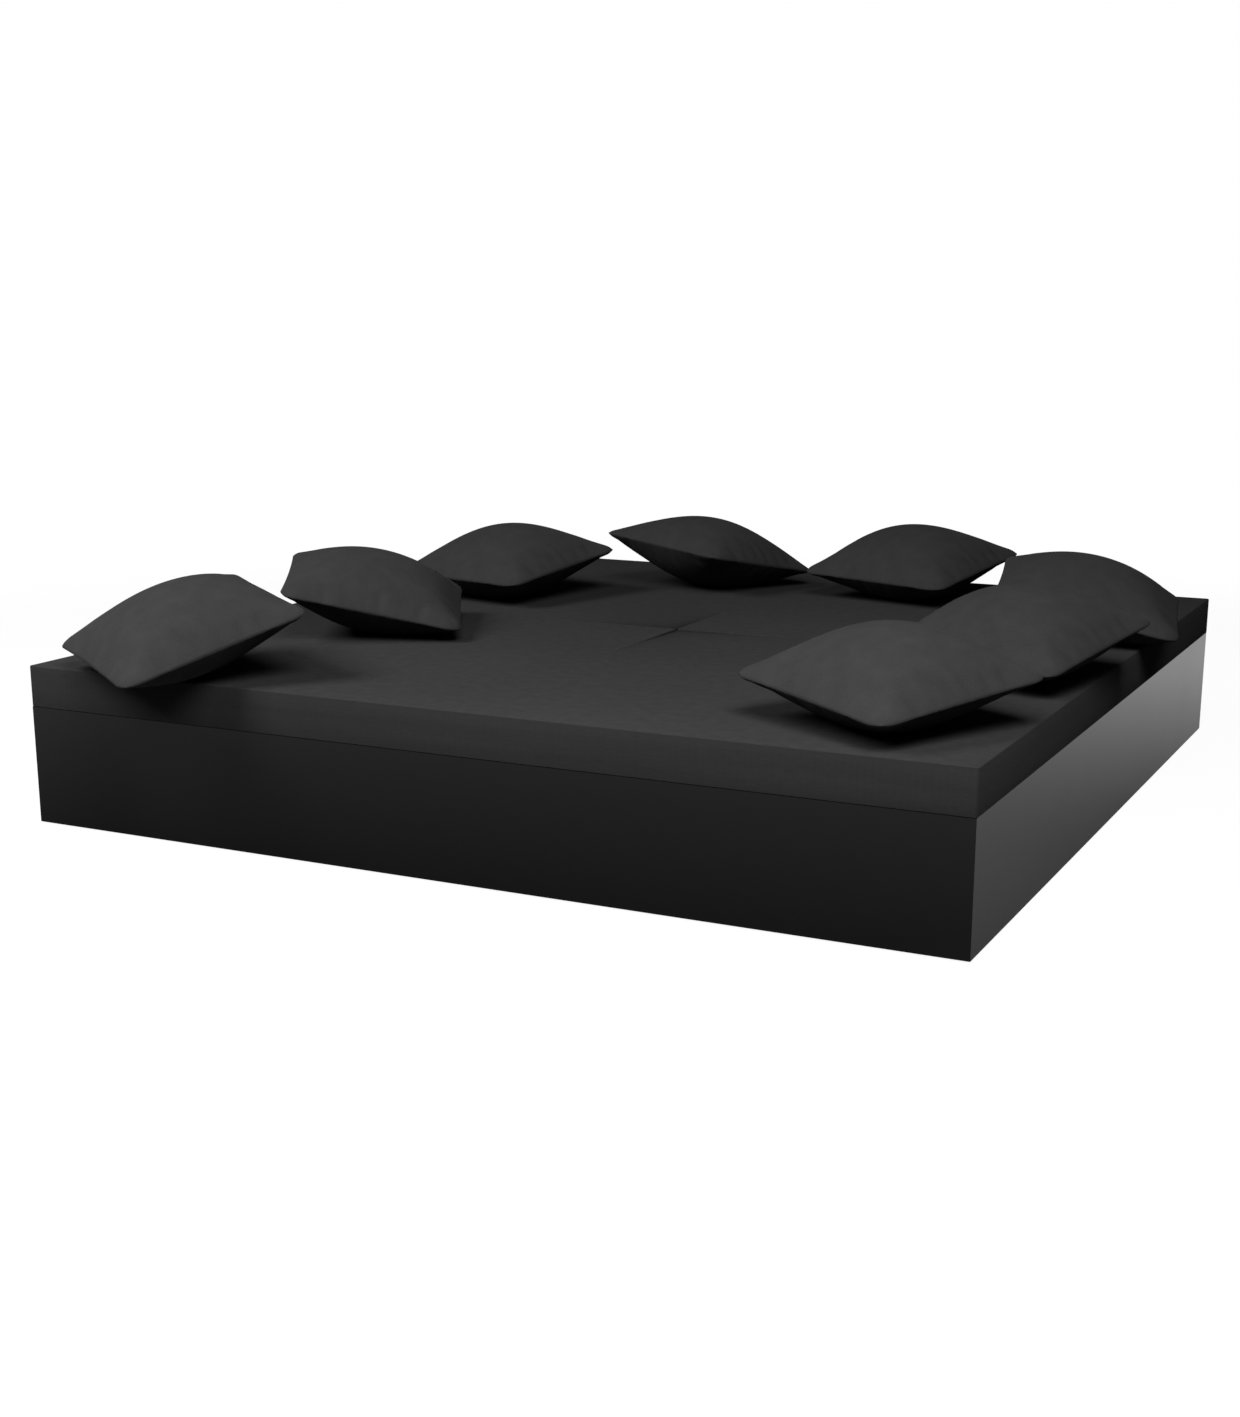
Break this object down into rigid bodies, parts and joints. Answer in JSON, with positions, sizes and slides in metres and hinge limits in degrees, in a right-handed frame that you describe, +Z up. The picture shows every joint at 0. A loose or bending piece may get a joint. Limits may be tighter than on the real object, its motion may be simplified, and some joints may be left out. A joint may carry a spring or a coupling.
{
  "type": "platform bed",
  "caption": "Low square daybed platform with a gloss black plinth, a flush upholstered mattress and loose square scatter pillows laid round its edge.",
  "frame": {"origin": "centre of the underside of the middle glide, on the floor under the middle of the bed", "axes": "+Z up, +X to the bed's right seen from its front, -Y to the front"},
  "size_m": [2.0789, 2.1886, 0.5262],
  "materials": {
    "black_lacquer": "gloss",
    "pine": "matte",
    "beech": "matte",
    "zinc_steel": "satin",
    "nylon": "matte",
    "mattress_cloth": "matte",
    "foam": "matte",
    "zip_tape": "matte",
    "slider_metal": "satin",
    "pillow_cloth": "matte"
  },
  "bodies": {
    "base": {"back_beam_shoe": "pine", "back_ledger_1": "pine", "back_ledger_2": "pine", "back_left_post": "pine", "back_leg": "pine", "back_panel": "black_lacquer", "back_right_post": "pine", "centre_leg": "pine", "corner_nuts": "zinc_steel", "corner_studs": "zinc_steel", "cross_beam": "pine", "front_beam_shoe": "pine", "front_ledger_1": "pine", "front_ledger_2": "pine", "front_left_post": "pine", "front_leg": "pine", "front_panel": "black_lacquer", "front_right_post": "pine", "glides": "nylon", "left_beam_shoe": "pine", "left_ledger_1": "pine", "left_ledger_2": "pine", "left_leg": "pine", "left_panel": "black_lacquer", "left_slats": "beech", "long_beam": "pine", "right_beam_shoe": "pine", "right_ledger_1": "pine", "right_ledger_2": "pine", "right_leg": "pine", "right_panel": "black_lacquer", "right_slats": "beech"},
    "mattress": {"mattress_cover": "mattress_cloth", "mattress_zip": "zip_tape", "back_left_foam": "foam", "back_right_foam": "foam", "front_left_foam": "foam", "front_right_foam": "foam"},
    "zip_slider": {"zip_slider": "slider_metal"},
    "pillow_1": {"pillow_1": "pillow_cloth"},
    "pillow_2": {"pillow_2": "pillow_cloth"},
    "pillow_3": {"pillow_3": "pillow_cloth"},
    "pillow_4": {"pillow_4": "pillow_cloth"},
    "pillow_5": {"pillow_5": "pillow_cloth"},
    "pillow_6": {"pillow_6": "pillow_cloth"},
    "pillow_7": {"pillow_7": "pillow_cloth"},
    "pillow_8": {"pillow_8": "pillow_cloth"}
  },
  "joints": [
    {"name": "mattress_lift", "type": "slide", "parent": "base", "child": "mattress", "axis": [0, 0, 1], "range_m": [0, 0.4]},
    {"name": "zip_slide", "type": "slide", "parent": "mattress", "child": "zip_slider", "axis": [1, 0, 0], "range_m": [0, 1.577]},
    {"name": "pillow_1_lift", "type": "slide", "parent": "mattress", "child": "pillow_1", "axis": [0, 0, 1], "range_m": [0, 0.3]},
    {"name": "pillow_2_lift", "type": "slide", "parent": "mattress", "child": "pillow_2", "axis": [0, 0, 1], "range_m": [0, 0.3]},
    {"name": "pillow_3_lift", "type": "slide", "parent": "mattress", "child": "pillow_3", "axis": [0, 0, 1], "range_m": [0, 0.3]},
    {"name": "pillow_4_lift", "type": "slide", "parent": "mattress", "child": "pillow_4", "axis": [0, 0, 1], "range_m": [0, 0.3]},
    {"name": "pillow_5_lift", "type": "slide", "parent": "mattress", "child": "pillow_5", "axis": [0, 0, 1], "range_m": [0, 0.3]},
    {"name": "pillow_6_lift", "type": "slide", "parent": "mattress", "child": "pillow_6", "axis": [0, 0, 1], "range_m": [0, 0.3]},
    {"name": "pillow_7_lift", "type": "slide", "parent": "mattress", "child": "pillow_7", "axis": [0, 0, 1], "range_m": [0, 0.3]},
    {"name": "pillow_8_lift", "type": "slide", "parent": "mattress", "child": "pillow_8", "axis": [0, 0, 1], "range_m": [0, 0.3]}
  ]
}
